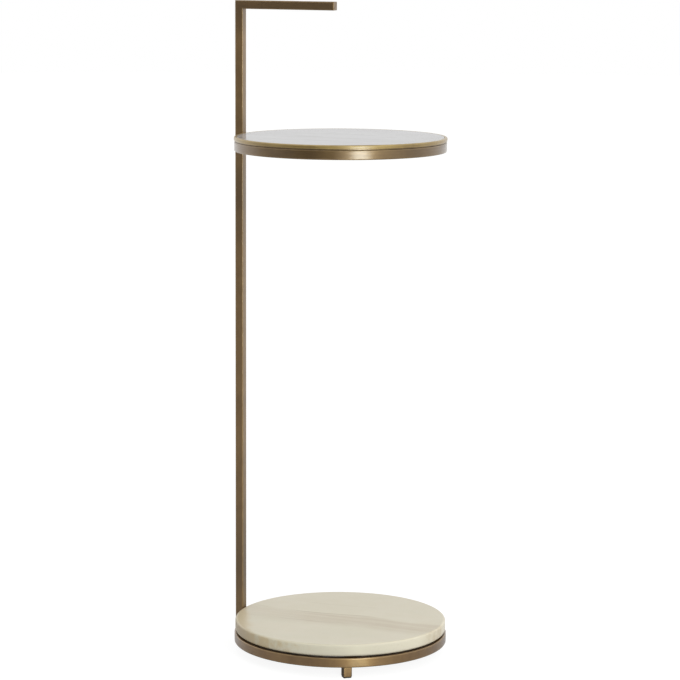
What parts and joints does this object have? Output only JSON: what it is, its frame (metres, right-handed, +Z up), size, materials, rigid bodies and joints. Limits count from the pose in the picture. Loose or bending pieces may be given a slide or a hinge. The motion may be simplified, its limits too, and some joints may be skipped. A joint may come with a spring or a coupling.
{
  "type": "wine table",
  "caption": "Slim drink table: a square-bar post with a grip at its top carries a small round stone tray above a heavy round stone base.",
  "frame": {"origin": "middle of the footprint's box, on the floor", "axes": "+Z up along the post, +X from the post towards the grip's free end, +Y to the grip's left"},
  "size_m": [0.2598, 0.25, 0.762],
  "materials": {
    "antique_brass": "satin",
    "bright_brass": "satin",
    "cream_marble": "satin",
    "pale_marble": "polished",
    "black_rubber": "matte",
    "insert_brass": "satin",
    "plated_steel": "satin"
  },
  "bodies": {
    "root": {"post": "antique_brass", "grip": "antique_brass", "base_ring": "antique_brass", "tray_ring": "antique_brass", "foot_front": "antique_brass", "foot_rear": "antique_brass", "base_lug_front": "antique_brass", "base_lug_rear": "antique_brass", "base_lug_post": "antique_brass", "tray_lug_front": "antique_brass", "tray_lug_rear": "antique_brass", "tray_lug_post": "antique_brass", "tray_plate": "antique_brass", "tray_edge_band": "bright_brass", "tray_stone": "pale_marble", "base_stone": "cream_marble", "base_spacers": "black_rubber", "pad_front": "black_rubber", "pad_rear": "black_rubber", "pad_post": "black_rubber", "base_inserts": "insert_brass", "base_screws": "plated_steel", "tray_nuts": "plated_steel", "tray_screws": "plated_steel"}
  },
  "joints": []
}
